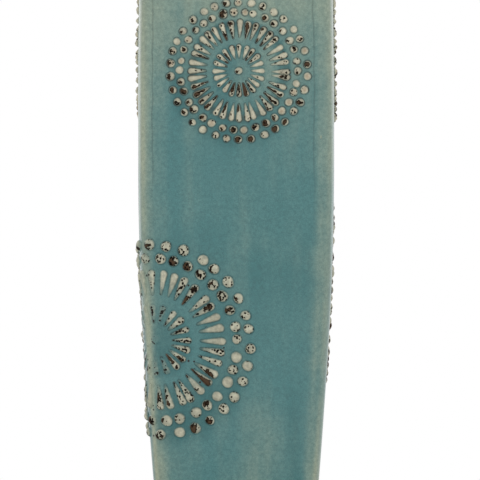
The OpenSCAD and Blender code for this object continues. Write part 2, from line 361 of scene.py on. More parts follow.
class Glaze:
    """How the glaze has run over the walls and round the strokes."""

    def __init__(self, scene):
        self.wall, self.flow = Wall(scene.vase_body), scene.vase_glaze
        self.rosettes = scene.vase_rosettes
        self.places = rosette_places(self.rosettes)

    def upper_share(self, along, past_crease, z):
        """The share of the way up to the lip from where the glaze begins to thin and the upper faces are
        painted lighter, lower down on the right of a face."""
        flow = self.flow
        right = smooth(10 * MM, 40 * MM, along) * smooth(6 * MM, 0, past_crease)
        lean = flow.lean * right * smooth(380 * MM, 310 * MM, z)
        return np.clip((z + lean - flow.thin_from) / (self.wall.body.height - flow.thin_from), 0, 1)

    def corner_thinness_and_sheen(self, face, along, past_crease, turn, z):
        """How thin the glaze is along the corners, which it has left barer and more broadly low down, with
        painted sheen and highlight that differ between the right and left of each face.
        """
        edge = np.array(EDGES)[np.where(along > 0, face, face - 1).astype(int) % 4]
        edge = edge + 0.22 * smooth(150 * MM, 60 * MM, z)
        right = np.interp(turn, list(RIGHT_CORNER), list(RIGHT_CORNER.values()))
        broader = turn + 2 * smooth(140 * MM, 50 * MM, z)
        left = np.interp(broader, list(LEFT_CORNER), list(LEFT_CORNER.values()))
        # Painted highlight beside the left-hand corners, low down
        beside = smooth(-20 * MM, -2 * MM, past_crease) * smooth(8, 3, turn)
        left = left + 0.12 * smooth(140 * MM, 60 * MM, z) * beside
        thin = np.where(along > 0, right, left) + smooth(5, 9, turn) * (edge - 0.3)
        return thin + 0.2 * smooth(3, 6, turn) * (edge - 0.45)

    def low_reflections_and_runs(self, face, along, z):
        """How pale and how deep the glaze is low on the faces: each has a pale streak, which is painted
        reflection of the curved lower wall, and a deep run between it and the corner; low down the glaze is a
        little thinner all over."""
        flow = self.flow
        low = smooth(flow.run_from, flow.run_full, z)
        pale = np.array(REFLECTION_PLACES)[face.astype(int) % 4] * MM
        deep = pale + np.sign(pale) * flow.deep_step
        # The pale streak is painted reflection; the slight thinning all over low down is glaze
        thin = flow.reflection_paleness * low * hump(along, pale, flow.reflection_half_width) + 0.03 * low
        return thin, flow.deep_pool * low * hump(along, deep, flow.deep_run)

    def rosette_bed(self, rosette, u, z):
        """How near a place is to a rosette's strokes, how deep the glaze lies there (deeper below and to the
        left, which also paints shade on that side), and the way from the rosette's middle, in its size."""
        rosettes = self.rosettes
        reach = rosettes.outer_bead_ring + rosettes.bead / 2
        quarter = self.wall.quarter(z)
        x = u - rosette.eighths * quarter / 2 - rosette.step
        x = (x + 2 * quarter) % (4 * quarter) - 2 * quarter
        y = z - rosette.height
        r = np.hypot(x, y) / rosette.size
        below = np.clip(-y / (rosette.size * reach), -1, 1.4)
        aside = np.clip(-x / (rosette.size * reach), -1, 1)
        near = 1 - smooth(reach - 4 * MM, reach + (1 + 8 * np.maximum(below, 0)) * MM, r)
        on_face = rosette.style is FACE_STYLE
        # The gap between the two rings of rays has less glaze
        gap = (rosettes.inner_to + rosettes.outer_from) / 2 + (0 if on_face else 1.5 * MM)
        shallow = (0.35 - 0.35 * below if on_face else 1) * hump(r, gap, 3.2 * MM)
        deep = near * (1 - shallow) * (rosette.style.bed + 0.28 * below + 0.22 * aside)
        if on_face:
            # The glaze lies deepest between the crowded rays, and is darkened there as painted shade
            for start, end, fill in ((rosettes.inner_from, rosettes.inner_to, 1.0),
                                     (rosettes.outer_from, rosettes.outer_to, 1.3)):
                crowd = smooth(start, end - 2 * MM, r) * smooth(end + 1.5 * MM, end - 1 * MM, r)
                deep = np.maximum(deep, (fill + 0.2 * below + 0.2 * aside) * crowd)
        return near, deep, r

    def marks(self, u, z):
        """Marks of the glaze: how thin it is, with painted sheen and light in it, how deep it has pooled, how
        near it is to a rosette's strokes, and the way from the line of painted shade in the crease along the
        corners."""
        body, flow = self.wall.body, self.flow
        face, along = self.wall.split(u, z)
        past_crease = self.wall.past_crease(u, z)
        turn = np.clip(past_crease * body.corner / self.wall.radius(z) / MM, -6, 9)
        upper = self.upper_share(along, past_crease, z)
        corner = self.corner_thinness_and_sheen(face, along, past_crease, turn, z)
        # Upper faces: thin glaze and painted light; corners: thin glaze and painted sheen
        thin = flow.top_thin_and_painted_light * upper + corner * (1 - 0.8 * upper)
        thin = np.maximum(thin, smooth(body.height - flow.lip, body.height - 1 * MM, z))
        # Low pale streaks of painted reflection, and deep runs
        low_sheen_and_thin, pool = self.low_reflections_and_runs(face, along, z)
        thin = thin + low_sheen_and_thin
        pool = pool + flow.band_pool * hump(z, flow.band_height, flow.band)
        near = 0 * z
        for rosette in self.places:
            close, deep, r = self.rosette_bed(rosette, u, z)
            near = np.maximum(near, close)
            pool = np.maximum(pool, deep * smooth(8 * MM, 2 * MM, past_crease))
            if rosette.style is CORNER_STYLE:
                # The glaze has run off the corner in the middle of a rosette, with a painted highlight on the
                # corner there
                thin = thin + 0.2 * smooth(2, 8, turn) * hump(r, 0, 22 * MM)
        # Way from the line of painted crease shade, near each crease
        line = np.where(along > 0, past_crease + 2 * MM, past_crease - 2 * MM) / (10 * MM)
        thin = np.clip(thin * (1 - 0.8 * pool), 0, 1)
        return {"thin": thin, "pool": np.clip(pool, 0, 1.4), "near": near, "line": line}


def ray_stroke(start, end, tip, width):
    """Once round a ray that points along +X: centres on its spine, half widths and directions."""
    first, last = start + tip / 2, end - width / 2
    caps = [(last, width / 2, a) for a in np.linspace(-90, 90, 9)]
    sides = [(last + (first - last) * t, (width + (tip - width) * t) / 2) for t in (0.25, 0.5, 0.75)]
    caps += [(s, h, 90) for s, h in sides]
    caps += [(first, tip / 2, a) for a in (90, 135, 180, 225, 270)]
    caps += [(s, h, 270) for s, h in sides[::-1]]
    spine, half, angle = np.array(caps).T
    return np.stack((spine, 0 * spine), -1), half, np.radians(angle)


def bead_stroke(distance, width):
    """Once round a bead, in the same way."""
    angle = np.linspace(0, 2 * math.pi, 22, endpoint=False)
    return np.stack((distance + 0 * angle, 0 * angle), -1), width / 2 + 0 * angle, angle


def rosette_rings(rosettes, size):
    """Name of each ring, with the angles of its strokes and one stroke that points along +X."""
    def around(count, first=0.0):
        return [math.radians(90 + 360 * (i + first) / count) for i in range(count)]

    tip = rosettes.tip_width
    bead = rosettes.bead if size == 1 else rosettes.corner_bead / size
    return {
        "dot": ([0.0], bead_stroke(0.0, rosettes.dot)),
        "inner_rays": (around(rosettes.inner_rays), ray_stroke(
            rosettes.inner_from, rosettes.inner_to, tip, rosettes.inner_width)),
        "outer_rays": (around(rosettes.outer_rays), ray_stroke(
            rosettes.outer_from, rosettes.outer_to, tip, rosettes.outer_width)),
        "inner_beads": (around(rosettes.beads, 0.5), bead_stroke(rosettes.inner_bead_ring, bead)),
        "outer_beads": (around(rosettes.beads), bead_stroke(rosettes.outer_bead_ring, bead))}


class Strokes:
    """Gathers the strokes of one ring of a rosette into one mesh."""

    def __init__(self, glaze, rosette, seed):
        self.glaze, self.wall, self.rosettes = glaze, glaze.wall, glaze.rosettes
        self.rosette, self.style = rosette, rosette.style
        self.random = np.random.default_rng(seed)
        self.points, self.faces, self.marks = [], [], []

    def rows(self, half):
        """The rows of a stroke's mesh: the way out from its spine, and the lift of those above the wall."""
        rise = half * (self.style.dome + 0.06 * self.random.normal())
        foot = np.minimum(0.2 * half, 0.36 * MM)
        edge = np.minimum(self.rosettes.skirt, 0.35 * MM + 0.4 * half)
        reach = [half * math.sin(a) for a in DOME] + [half + edge * out for out, _ in SKIRT]
        lift = [foot + rise * math.cos(a) ** 1.3 for a in DOME] + [foot * up for _, up in SKIRT]
        return np.array(reach + [half + edge, 0 * half]), np.array(lift)

    def drowned(self, far, past_crease):
        """How far glaze has filled a stroke: only on an upright corner, and the inner strokes most."""
        if self.style is FACE_STYLE:
            return 0 * past_crease
        if far >= self.rosettes.outer_from:
            return 0.3 * smooth(0, 7 * MM, past_crease)
        depth = 0.95 if far < self.rosettes.inner_from else 0.62
        return depth * smooth(-10 * MM, -1 * MM, past_crease.mean()) + 0 * past_crease

    def slip_marks(self, spine, wear_and_shade_side, show):
        """Marks of the slip: how well it covers, where its top and its dark foot are, and how it has worn."""
        random, style = self.random, self.style
        # A fifth of the strokes have no patch, most have one, and a few are worn nearly all over
        worn = random.uniform()
        patch = 0 if worn < 0.2 else random.uniform(0.54, 0.8) if worn < 0.96 else 0.9
        speck = style.speck * random.uniform(0.5, 1) if 0.1 < worn < style.specked else 0
        along = spine[:, 0] - spine[:, 0].min()
        ray = along.max() > 1 * MM
        if ray:
            # A ray's tip sinks into the glaze
            cover = BARE ** style.ray_bare * (1 - 0.7 * (1 - along / along.max()) ** 2.5)
            heel, skirt_heel = style.ray_heel, 0.7
        else:
            cover = BARE ** style.bead_bare
            heel, skirt_heel = style.bead_heel, 0.2
        # Painted shade on the skirt at the foot of the stroke
        foot = heel * np.array((0,) * 6 + (0.2, 0.8, 1, skirt_heel, 0, 0))[:, None]
        return {"cover": cover * show * style.cover, "crest": CREST, "foot": foot * show,
                "wear_and_shade_side": wear_and_shade_side, "patch": patch, "speck": speck,
                "rubbed": CREST * (worn < style.rubbed and not ray)}

    def add(self, angle, spine, half, direction):
        """One domed stroke, turned by angle about the rosette's middle and laid on the wall."""
        random, hand, rosette = self.random, self.rosettes.hand, self.rosette
        swell = 1 + hand * random.normal()
        wobble = 1 + 0.7 * hand * (np.sin(2 * direction + random.uniform(0, 6.3))
                                   + 0.6 * np.sin(3 * direction + random.uniform(0, 6.3)))
        half = rosette.size * half * swell * wobble
        angle = angle + 0.25 * hand * random.normal()
        spine = rosette.size * spine + hand * 3 * MM * random.normal(size=2)
        reach, lift = self.rows(half)
        x = spine[:, 0] + reach * np.cos(direction)
        y = spine[:, 1] + reach * np.sin(direction)
        c, s = math.cos(angle), math.sin(angle)
        x, y = x * c - y * s, x * s + y * c
        z = rosette.height + y
        u = rosette.eighths * self.wall.quarter(z) / 2 + rosette.step + x
        past_crease = self.wall.past_crease(u, z)
        far = np.hypot(x, y).max() / rosette.size
        drowned = self.drowned(far, past_crease)
        if far < self.rosettes.outer_from:
            lift = lift * (1 - 0.8 * drowned[:len(lift)])
        under = np.full((2, len(half)), -self.rosettes.sunk)
        places, _ = self.wall.place(u, z, np.concatenate((lift + self.rosettes.clear, under)))
        marks = self.glaze.marks(u, z)
        thick = THICK * (1 - 0.5 * marks["thin"]) * (1 - drowned)
        marks["pool"] = np.maximum(marks["pool"], thick * smooth(7 * MM, 0, past_crease))
        # Worn patches lean to the left and a little below on each stroke: brown wear, which also paints that
        # side in shade
        wear_and_shade_side = reach / half * np.cos(direction + angle - math.radians(195))
        marks |= self.slip_marks(spine, wear_and_shade_side, 1 - drowned)
        base = sum(len(p) for p in self.points)
        self.points.append(places.reshape(-1, 3))
        self.faces += [[base + v for v in face] for face in grid_faces(*x.shape, True)]
        self.marks.append({name: np.broadcast_to(mark, x.shape).ravel() for name, mark in marks.items()})

    def mesh(self, name):
        mesh = new_mesh(name, np.concatenate(self.points), self.faces, joined(self.marks))
        shell = bmesh.new()
        shell.from_mesh(mesh)
        bmesh.ops.remove_doubles(shell, verts=shell.verts, dist=1e-7)
        shell.to_mesh(mesh)
        shell.free()
        mesh.set_sharp_from_angle(angle=math.radians(65))
        return mesh


# Meshes

def grid_faces(rows, columns, closed):
    """Quads of a grid whose rows go outwards or upwards and whose columns run to the right."""
    faces = []
    for i in range(rows - 1):
        for j in range(columns if closed else columns - 1):
            k = (j + 1) % columns
            faces.append([i * columns + j, (i + 1) * columns + j, (i + 1) * columns + k, i * columns + k])
    return faces


def flipped(quads):
    return [[a, d, c, b] for a, b, c, d in quads]


def joined(marks):
    """One set of marks from the sets of a mesh's parts."""
    return {name: np.concatenate([part[name] for part in marks]) for name in marks[0]}


def new_mesh(name, points, faces, marks):
    mesh = bpy.data.meshes.new(name)
    mesh.from_pydata([tuple(p) for p in points], [], faces)
    mesh.polygons.foreach_set("use_smooth", [True] * len(mesh.polygons))
    for key, values in marks.items():
        mesh.attributes.new(key, "FLOAT", "POINT").data.foreach_set("value", np.asarray(values, np.float32))
    mesh.update()
    return mesh


def add_piece(mesh, material, slot, *nodes):
    """Puts a mesh in the scene as the piece that stands for CAD nodes."""
    piece = bpy.data.objects.new(mesh.name, mesh)
    bpy.context.scene.collection.objects.link(piece)
    mesh.materials.append(material)
    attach(piece, "root")
    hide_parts(*nodes)
    return piece


def wall_mesh(glaze, face):
    """One wall slab from mitre to mitre: up the outside, over the round lip and down the inside."""
    wall, body = glaze.wall, glaze.wall.body
    lip = body.wall / 2
    outside = [(z, 0.0, 0.0) for z in np.linspace(body.floor, body.height - lip, 150)]
    over = [(body.height - lip + lip * math.sin(a), lip * (1 - math.cos(a)), a)
            for a in np.radians(np.linspace(0, 180, 13)[1:-1])]
    inside = [(z, body.wall, math.pi) for z in np.linspace(body.height - lip, body.floor, 48)]
    z, inset, turn = np.array(outside + over + inside).T
    columns = quarter_columns(7, 40)
    u = face * wall.quarter(z)[:, None] + along_quarter(wall, columns, z)
    height = np.broadcast_to(z[:, None], u.shape)
    points, out = wall.place(u, height, 0 * u)
    points = points - unit(out * (1, 1, 0)) * inset[:, None, None]
    up = np.array((0, 0, 1))
    normals = unit(out * np.cos(turn)[:, None, None] + up * np.sin(turn)[:, None, None])
    marks = glaze.marks(u, height) | {"bare": 0 * u}
    # The inside has glaze of one depth, with no line and no strokes
    for name, value in (("pool", 0.25), ("line", -1), ("near", 0)):
        marks[name] = np.where((inset > lip)[:, None], value, marks[name])
    m, n = u.shape
    skin = flipped(grid_faces(m, n, False))
    close = [[(m - 1) * n + j, (m - 1) * n + j + 1, j + 1, j] for j in range(n - 1)]
    close += [[i * n for i in range(m)][::-1], [i * n + n - 1 for i in range(m)]]
    marks = {name: value.ravel() for name, value in marks.items()}
    mesh = new_mesh(FACES[face] + "_wall_glazed", points.reshape(-1, 3), skin + close, marks)
    flat = normals.reshape(-1, 3)
    corners = [flat[v] for quad in skin for v in quad]
    for polygon in list(mesh.polygons)[len(skin):]:
        polygon.use_smooth = False
        corners += [polygon.normal] * polygon.loop_total
    mesh.normals_split_custom_set([tuple(v) for v in corners])
    return mesh


def ring_points(wall, columns, z, inset, scale):
    """Once round the body at height z, drawn in by inset and then scaled, and the way round to each point."""
    s = along_quarter(wall, columns[:-1], [z])[0]
    u = np.concatenate([s + face * wall.quarter(z) for face in range(4)])
    points, out = wall.place(u, z + 0 * u, 0 * u)
    return (points - unit(out * (1, 1, 0)) * inset) * (scale, scale, 1), u


def base_mesh(glaze):
    """The floor slab: from the middle of its underside round the edge, and in over the floor."""
    wall, body = glaze.wall, glaze.wall.body
    low, edge, floor, puddle = body.foot_height, body.base_edge, body.floor, body.puddle
    inner = wall.half(floor) - body.wall
    under_scales = (0.004, 0.25, 0.5, 0.72, 0.8, 0.86, 0.92, 0.97)
    floor_scales = (0.8, 0.5, 0.25, 0.004)
    # Each row has a height, an inset, a scale and a share of bare clay
    rows = [(low, edge, k, 1.0) for k in under_scales]
    rows += [(low + edge * (1 - math.cos(a)), edge * (1 - math.sin(a)), 1.0, 1 - 0.9 * math.sin(a))
             for a in np.radians((0, 15, 30, 45, 60, 75, 90))]
    rows += [(z, 0.0, 1.0, 0.0) for z in np.linspace(low + edge, floor, 4)[1:]]
    rows += [(floor, body.wall - 0.05 * MM, 1.0, 0.0)]
    rows += [(floor + puddle * (1 - math.sin(a)), body.wall, 1 - puddle * (1 - math.cos(a)) / inner, 0.0)
             for a in np.radians((0, 18, 36, 54, 72, 90))]
    rows += [(floor, body.wall, k, 0.0) for k in floor_scales]
    columns = quarter_columns(7, 40)
    points, marks = [], []
    for z, inset, scale, clay in rows:
        ring, u = ring_points(wall, columns, z, inset, scale)
        points.append(ring)
        flow = glaze.marks(u, z + 0 * u) | {"line": 0 * u - 1, "bare": 0 * u + clay}
        if inset > body.wall / 2:
            flow |= {"thin": 0 * u, "pool": 0 * u + 0.45}
        marks.append(flow)
    m, n = len(rows), len(points[0])
    faces = flipped(grid_faces(m, n, True))
    faces += [list(range(n))[::-1], [(m - 1) * n + j for j in range(n)]]
    mesh = new_mesh("base_slab_glazed", np.concatenate(points), faces, joined(marks))
    mesh.set_sharp_from_angle(angle=math.radians(40))
    return mesh


def foot_mesh(wall):
    """The ring of bare clay, with its edges rubbed round."""
    body = wall.body
    half = wall.half(body.foot_height) - body.foot_inset
    top, band, edge = body.foot_height, body.foot_band, body.foot_edge
    bend = np.radians((0, 30, 60, 90))
    section = [(edge * (1 - math.cos(a)), edge * (1 - math.sin(a))) for a in bend[::-1]]
    section += [(0.0, z) for z in np.linspace(edge, top, 4)[1:]]
    section += [(band, z) for z in np.linspace(top, edge, 4)]
    section += [(band - edge * (1 - math.cos(a)), edge * (1 - math.sin(a))) for a in bend[1:]]
    section += [(band * t, 0.0) for t in (0.75, 0.5, 0.25)]
    columns = quarter_columns(6, 24)
    points = []
    for inset, z in section:
        ring, u = ring_points(wall, columns, top, body.foot_inset, 1 - inset / half)
        ring[:, 2] = z + (body.foot_wear * (1 + np.sin(37 * u + 90 * inset)) if z < 0.5 * edge else 0)
        points.append(ring)
    m, n = len(section), len(points[0])
    faces = [[v % (m * n) for v in quad] for quad in flipped(grid_faces(m + 1, n, True))]
    mesh = new_mesh("foot_ring_bare", np.concatenate(points), faces, {})
    mesh.set_sharp_from_angle(angle=math.radians(50))
    return mesh


# Materials

class Tree:
    """Lays nodes in one node tree, from left to right."""

    def __init__(self, tree):
        self.tree = tree
        self.tree.nodes.clear()

    def node(self, kind, inputs=None, **settings):
        node = self.tree.nodes.new(kind)
        count = len(self.tree.nodes)
        node.location = (220 * (count // 4), -280 * (count % 4))
        for name, value in settings.items():
            setattr(node, name, value)
        self.join(node, inputs or {})
        return node

    def join(self, node, inputs):
        """Links sockets to a node's inputs, or sets their values."""
        for socket, value in inputs.items():
            if isinstance(value, bpy.types.NodeSocket):
                self.tree.links.new(value, node.inputs[socket])
            else:
                node.inputs[socket].default_value = value

    def math(self, operation, first, second=0.0):
        return self.node("ShaderNodeMath", {0: first, 1: second}, operation=operation).outputs[0]

    def product(self, first, second):
        return self.math("MULTIPLY", first, second)

    def total(self, first, *others):
        for other in others:
            first = self.math("ADD", first, other)
        return first

    def most(self, first, *others):
        for other in others:
            first = self.math("MAXIMUM", first, other)
        return first

    def about(self, value, centre, strength):
        """How far a value is from a centre, times a strength."""
        return self.product(self.math("SUBTRACT", value, centre), strength)

    def blend(self, factor, first, second):
        node = self.node("ShaderNodeMix", {0: factor, 6: first, 7: second}, data_type="RGBA")
        return node.outputs[2]

    def ease(self, value, low, high, start=0.0, end=1.0):
        """Start below low, end above high, and a smooth way between them."""
        node = self.node("ShaderNodeMapRange", {0: value, 1: low, 2: high, 3: start, 4: end},
                         interpolation_type="SMOOTHSTEP")
        return node.outputs[0]

    def brighten(self, value, tone):
        return self.node("ShaderNodeHueSaturation", {"Value": value, "Color": tone}).outputs[0]

    def noise(self, place, scale, detail):
        node = self.node("ShaderNodeTexNoise", {"Vector": place, "Scale": scale, "Detail": detail})
        return node.outputs["Fac"]

    def specks(self, place, scale, rarity, core, rim):
        """Mask of round specks, full in the core and gone at the rim. The share rarity of cells has none."""
        cells = self.node("ShaderNodeTexVoronoi", {"Vector": place, "Scale": scale})
        pick = self.node("ShaderNodeSeparateColor", {0: cells.outputs["Color"]}).outputs[0]
        return self.product(self.math("GREATER_THAN", pick, rarity),
                            self.ease(cells.outputs["Distance"], core, rim, 1.0, 0.0))

    def mark(self, name):
        return self.node("ShaderNodeAttribute", attribute_name=name).outputs["Fac"]

    def place(self):
        return self.node("ShaderNodeTexCoord").outputs["Object"]

    def upright(self, place, squeeze):
        """Places squeezed in height, which draws a texture out upright."""
        return self.node("ShaderNodeMapping", {"Vector": place, "Scale": (1, 1, squeeze)}).outputs[0]

    def bump(self, height, strength, depth):
        node = self.node("ShaderNodeBump", {"Strength": strength, "Distance": depth, "Height": height})
        return node.outputs["Normal"]

    def group(self, name, build, inputs):
        """Places a shared node group, which is built when it's first needed."""
        shared = bpy.data.node_groups.get(name) or build(name)
        return self.node("ShaderNodeGroup", inputs, node_tree=shared).outputs

    def seen(self):
        """One for rays that see a thing straight, mirrored or through something clear."""
        rays = self.node("ShaderNodeLightPath").outputs
        return self.most(rays["Is Camera Ray"], rays["Is Glossy Ray"], rays["Is Transmission Ray"])


def new_group(name, inputs, outputs):
    """A shader node group with named sockets: its tree, its inputs and its output node."""
    shared = bpy.data.node_groups.new(name, "ShaderNodeTree")
    for sockets, way in ((inputs, "INPUT"), (outputs, "OUTPUT")):
        for socket, kind in sockets.items():
            shared.interface.new_socket(name=socket, in_out=way, socket_type="NodeSocket" + kind)
    tree = Tree(shared)
    return tree, tree.node("NodeGroupInput").outputs, tree.node("NodeGroupOutput")


def glaze_tone(name):
    """Teal glaze: mottled, streaked by its own running, crazed, and pale where it is thin and where sheen and
    light are painted.
    """
    tree, given, result = new_group(
        name, {"Thin": "Float", "Pool": "Float", "Line": "Float",
               "Teal": "Color", "Deep": "Color", "Pale": "Color", "Shade": "Color"},
        {"Color": "Color", "Roughness": "Float", "Height": "Float"})
    place = tree.place()
    mottle = tree.noise(place, 420, 3)
    cloud = tree.noise(place, 30, 2)
    grain = tree.noise(place, 1500, 1)
    streak = tree.noise(tree.upright(place, 0.07), 75, 2)
    sway = tree.total(tree.about(cloud, 0.5, 0.5), tree.about(streak, 0.5, 0.6))
    fleck = tree.about(mottle, 0.5, 0.24)
    thin = tree.total(given["Thin"], sway, fleck)
    pool = tree.total(tree.math("SUBTRACT", given["Pool"], sway), fleck)
    tone = tree.blend(tree.ease(pool, 0, 1), given["Teal"], given["Deep"])
    # Deepest glaze blends to the dark shade colour: deep glaze, and painted shade between crowded strokes
    tone = tree.blend(tree.ease(pool, 0.85, 1.4, 0, 0.6), tone, given["Shade"])
    # Pale where the glaze is thin, and painted sheen, reflection and light on corners, upper faces and low
    # streaks
    tone = tree.blend(tree.ease(thin, -0.1, 1.1), tone, given["Pale"])
    # Painted shade in the crease along the corners, in the upper half
    wander = tree.total(tree.about(cloud, 0.5, 0.5), given["Line"])
    crease = tree.ease(tree.math("ABSOLUTE", wander), 0.02, 0.08, 0.28, 0.0)
    height = tree.node("ShaderNodeSeparateXYZ", {0: place}).outputs["Z"]
    crease = tree.product(crease, tree.ease(height, 230 * MM, 300 * MM))
    tone = tree.blend(crease, tone, given["Shade"])
    # Small pale pinholes
    holes = tree.specks(tree.upright(place, 0.6), 70.0, 0.8, 0.03, 0.06)
    tone = tree.blend(tree.product(holes, 0.55), tone, given["Pale"])
    # Hairline crazing
    craze = tree.node("ShaderNodeTexVoronoi", {"Vector": place, "Scale": 150.0}, feature="DISTANCE_TO_EDGE")
    hair = tree.ease(craze.outputs["Distance"], 0.0, 0.05, 1.0, 0.0)
    value = tree.total(tree.about(grain, 0.5, 0.6), tree.product(hair, -0.05),
                       tree.ease(mottle, 0.2, 0.8, 0.9, 1.1))
    tree.join(result, {"Color": tree.brighten(value, tone),
                       "Roughness": tree.ease(mottle, 0.3, 0.7, 0.14, 0.26),
                       "Height": tree.total(mottle, tree.product(hair, -0.4))})
    return tree.tree


def clay_grain(name):
    """Bare fired clay with grog and rubbed, dusty lows."""
    tree, given, result = new_group(name, {"Clay": "Color"},
                                    {"Color": "Color", "Roughness": "Float", "Height": "Float"})
    place = tree.place()
    cloud = tree.noise(place, 60, 3)
    grain = tree.noise(place, 1300, 2)
    grog = tree.specks(place, 620.0, 0.75, 0.2, 0.4)
    value = tree.total(tree.ease(cloud, 0.3, 0.7, 0.82, 1.08), tree.about(grain, 0.5, 0.3),
                       tree.product(grog, -0.28))
    tree.join(result, {"Color": tree.brighten(value, given["Clay"]),
                       "Roughness": tree.ease(grain, 0.3, 0.7, 0.75, 0.92),
                       "Height": tree.total(grain, tree.product(grog, -0.5))})
    return tree.tree


def speck_mask(name):
    """Dark specks scattered over the glaze and the slip."""
    sockets = {"Place": "Vector", "Scale": "Float", "Rarity": "Float", "Core": "Float", "Rim": "Float"}
    tree, given, result = new_group(name, sockets, {"Mask": "Float"})
    tree.join(result, {"Mask": tree.specks(*(given[socket] for socket in sockets))})
    return tree.tree


def new_material(name):
    material = bpy.data.materials.new(name)
    material.use_nodes = True
    tree = Tree(material.node_tree)
    surface = tree.node("ShaderNodeBsdfPrincipled")
    output = tree.node("ShaderNodeOutputMaterial", {"Surface": surface.outputs[0]})
    output.location = (1800, 0)
    return material, tree, surface, output


def shared_material(name, build, finish):
    """A material that pieces share, which is built when it's first needed."""
    return bpy.data.materials.get(name) or build(name, finish)


def glaze_sockets(tree, finish):
    return tree.group("teal_glaze_tone", glaze_tone, {
        "Thin": tree.mark("thin"), "Pool": tree.mark("pool"), "Line": tree.mark("line"),
        "Teal": finish.teal, "Deep": finish.deep, "Pale": finish.pale, "Shade": finish.shade})


def clay_sockets(tree, finish):
    return tree.group("bare_clay_grain", clay_grain, {"Clay": finish.clay})


def glaze_material(name, finish):
    """Glaze on the walls and base, wiped off the underside."""
    material, tree, surface, _ = new_material(name)
    glaze, clay = glaze_sockets(tree, finish), clay_sockets(tree, finish)
    place = tree.place()
    wiped = tree.total(tree.mark("bare"), tree.about(tree.noise(place, 90, 3), 0.5, 1.0))
    wiped = tree.ease(wiped, 0.45, 0.55)
    # Stray specks that fell beside the strokes
    stray = tree.group("scattered_specks", speck_mask, {
        "Place": place, "Scale": 260.0, "Rarity": 0.9, "Core": 0.14, "Rim": 0.24})["Mask"]
    stray = tree.product(stray, tree.ease(tree.mark("near"), 0.7, 0.9))
    tone = tree.blend(stray, glaze["Color"], finish.umber)
    tree.join(surface, {
        "Base Color": tree.blend(wiped, tone, clay["Color"]),
        "Specular IOR Level": 0.3,
        "Coat Weight": 0.4,
        "Coat Roughness": 0.06,
        "Roughness": tree.ease(wiped, 0, 1, glaze["Roughness"], clay["Roughness"]),
        "Normal": tree.bump(glaze["Height"], 0.25, 0.12 * MM)})
    return material


def slip_material(name, finish):
    """Cream slip strokes under clear glaze, worn brown in patches, with teal glaze and painted shade round
    their feet.
    """
    material, tree, surface, _ = new_material(name)
    glaze = glaze_sockets(tree, finish)
    place = tree.place()
    cover, crest, foot, patch = (tree.mark(mark) for mark in ("cover", "crest", "foot", "patch"))
    blotch = tree.noise(place, 420, 2)
    cloud = tree.noise(place, 130, 2)
    stain = tree.ease(tree.total(tree.product(crest, 0.25), cloud), 0.5, 0.9, 0.0, 0.26)
    cream = tree.brighten(tree.ease(blotch, 0.25, 0.75, 0.82, 1.1),
                          tree.blend(stain, finish.slip, finish.brown))
    cream = tree.blend(tree.ease(tree.mark("rubbed"), 0.6, 1.0, 0.0, 0.4), cream, finish.tan)
    # Painted shade round the foot of the stroke, in patches, mixed with some dark glaze
    heel = tree.product(foot, tree.ease(cloud, 0.38, 0.58, 0.1, 1.0))
    heel = tree.blend(heel, glaze["Color"], finish.shade)
    tone = tree.blend(tree.ease(tree.total(cover, tree.about(blotch, 0.5, 0.3)), 0.0, 1.0), heel, cream)
    # Where the slip is open to wear
    bared = tree.most(tree.ease(cover, 0.1, 0.3), tree.ease(crest, 0.4, 0.6), tree.product(foot, 0.6))
    # Patches worn through on the crests: how far the wear has come, against the noise; the lean to one side
    # also paints shade there
    wear = tree.total(tree.about(blotch, 0.5, 1.2), tree.about(cloud, 0.5, 1.4),
                      tree.about(crest, 0.6, 0.4), tree.product(tree.mark("wear_and_shade_side"), 0.26))
    depth = tree.total(wear, tree.product(patch, 0.9), -0.8)
    some = tree.math("GREATER_THAN", patch, 0.01)
    patches = tree.product(tree.product(tree.ease(depth, 0.0, 0.05), some), bared)
    worn = tree.blend(tree.ease(depth, 0.1, 0.32), finish.umber, finish.brown)
    tone = tree.blend(patches, tone, worn)
    # Specks, shaken out of round
    warp = tree.node("ShaderNodeTexNoise", {"Vector": place, "Scale": 700.0, "Detail": 1.0}).outputs["Color"]
    shaken = tree.node("ShaderNodeVectorMath", {0: warp, 1: (1.2 * MM,) * 3, 2: place},
                       operation="MULTIPLY_ADD").outputs[0]
    rarity = tree.total(tree.product(tree.mark("speck"), -0.5), 1.0)
    specks = tree.group("scattered_specks", speck_mask, {
        "Place": shaken, "Scale": 560.0, "Rarity": rarity, "Core": 0.4, "Rim": 0.5})["Mask"]
    specks = tree.product(specks, bared)
    tone = tree.blend(specks, tone, finish.umber)
    spent = tree.most(patches, specks)
    height = tree.total(tree.product(glaze["Height"], 0.5), tree.product(spent, -0.5))
    tree.join(surface, {
        "Base Color": tone,
        "Specular IOR Level": 0.07,
        "Coat Weight": tree.ease(cover, 0, 0.5, 0.85, 0.0),
        "Coat Roughness": 0.06,
        "Roughness": tree.ease(spent, 0, 1, tree.ease(cover, 0, 1, glaze["Roughness"], 0.34), 0.5),
        "Normal": tree.bump(height, 0.4, 0.12 * MM)})
    return material


def clay_material(name, finish):
    """Bare clay of the foot ring."""
    material, tree, surface, _ = new_material(name)
    clay = clay_sockets(tree, finish)
    tree.join(surface, {"Base Color": clay["Color"], "Roughness": clay["Roughness"],
                        "Normal": tree.bump(clay["Height"], 0.5, 0.2 * MM)})
    return material


